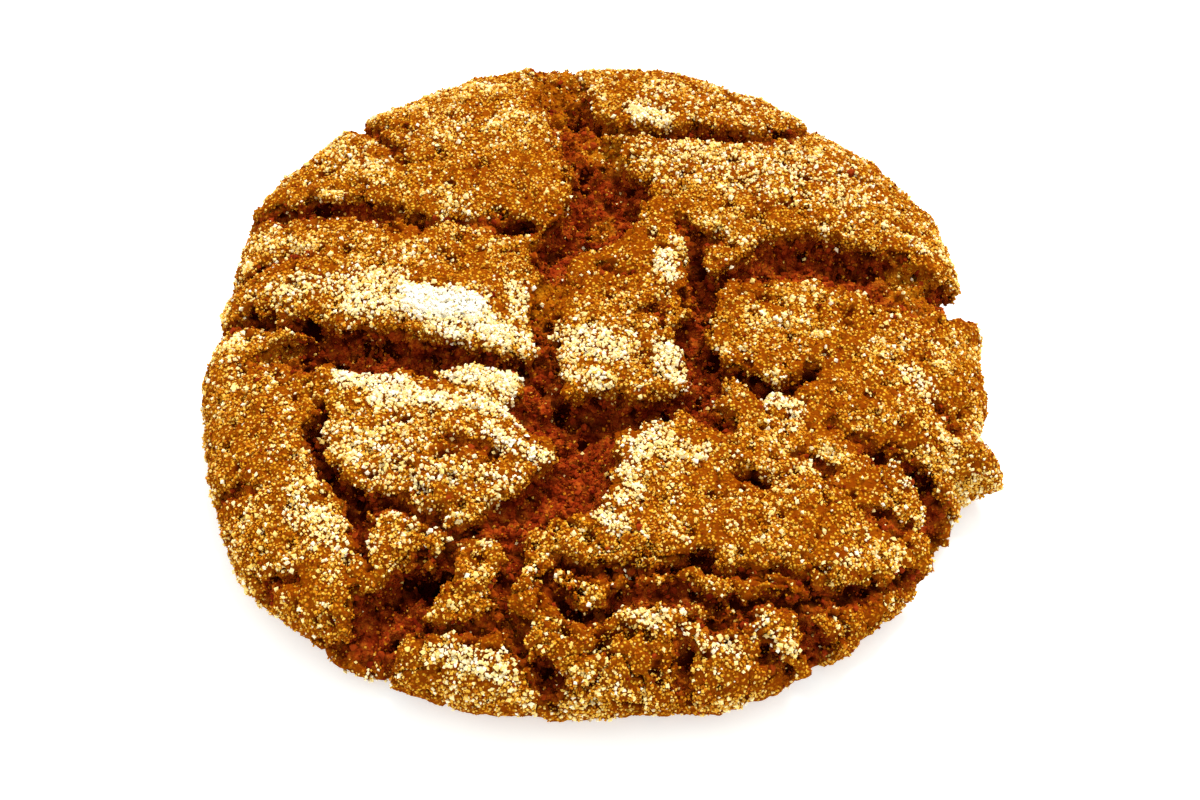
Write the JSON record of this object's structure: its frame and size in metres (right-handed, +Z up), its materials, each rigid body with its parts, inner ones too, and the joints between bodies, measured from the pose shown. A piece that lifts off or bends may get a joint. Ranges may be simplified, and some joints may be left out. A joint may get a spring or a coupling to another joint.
{
  "type": "gingersnap",
  "caption": "Round sugared ginger biscuit with a cracked, gently domed top and a flat baked base.",
  "frame": {"origin": "middle of the flat base, under the middle of the biscuit's bounding box", "axes": "+Z up out of the domed top, +Y away from the viewer of the picture, +X to the viewer's right"},
  "size_m": [0.0794, 0.0836, 0.0127],
  "materials": {
    "sugared_ginger_crust": "matte golden-brown crust, rough with sugar, darker red-brown crumb in the cracks"
  },
  "bodies": {
    "root": {"gingersnap": "sugared_ginger_crust"}
  },
  "joints": []
}
